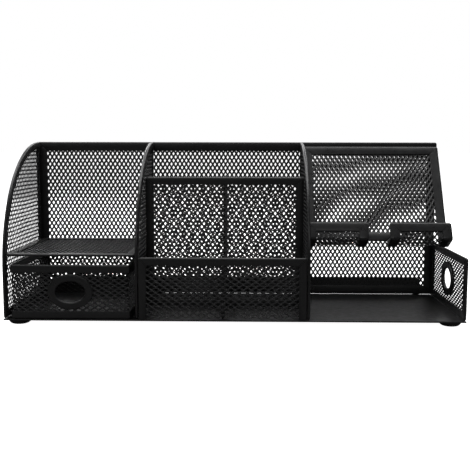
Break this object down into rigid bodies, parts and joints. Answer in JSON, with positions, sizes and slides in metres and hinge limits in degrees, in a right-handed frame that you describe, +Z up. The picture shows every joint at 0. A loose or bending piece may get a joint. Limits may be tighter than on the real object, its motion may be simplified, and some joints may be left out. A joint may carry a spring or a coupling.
{
  "type": "desk organizer",
  "caption": "Black mesh desk organizer: drawer under a shelf, tall and low pockets in the middle, sloped phone stand over an open cubby, on a steel base.",
  "frame": {"origin": "bottom centre of the whole object, on the surface the feet stand on", "axes": "+X to the user's right, -Y towards the user (the drawer opens along -Y), +Z up"},
  "size_m": [0.38, 0.118, 0.1521],
  "materials": {
    "strip": "black satin powder coat on folded steel strip",
    "mesh": "black satin powder coat on expanded steel mesh",
    "plate": "black satin powder coat on flat sheet steel",
    "rubber": "matt black rubber"
  },
  "bodies": {
    "body": {"base_plate": "plate", "foot_front_left": "rubber", "foot_rear_left": "rubber", "foot_front_right": "rubber", "foot_rear_right": "rubber", "left_end_frame": "strip", "left_end_mesh": "mesh", "left_divider_frame": "strip", "left_divider_mesh": "mesh", "right_divider_frame": "strip", "right_divider_mesh": "mesh", "cubby_end_frame": "strip", "cubby_end_grommet": "strip", "cubby_end_mesh": "mesh", "back_frame": "strip", "back_mesh": "mesh", "middle_wall_frame": "strip", "middle_wall_mesh": "mesh", "front_pocket_frame": "strip", "front_pocket_mesh": "mesh", "rear_pocket_divider_frame": "strip", "rear_pocket_divider_mesh": "mesh", "front_pocket_divider_frame": "strip", "front_pocket_divider_mesh": "mesh", "shelf_frame": "strip", "shelf_mesh": "mesh", "stand_frame": "strip", "stand_mesh": "mesh"},
    "drawer": {"drawer_pan": "plate", "drawer_wall": "mesh", "drawer_rim": "strip", "drawer_grommet": "strip"}
  },
  "joints": [
    {"name": "drawer_slide", "type": "slide", "parent": "body", "child": "drawer", "axis": [0, -1, 0], "range_m": [0, 0.09]}
  ]
}
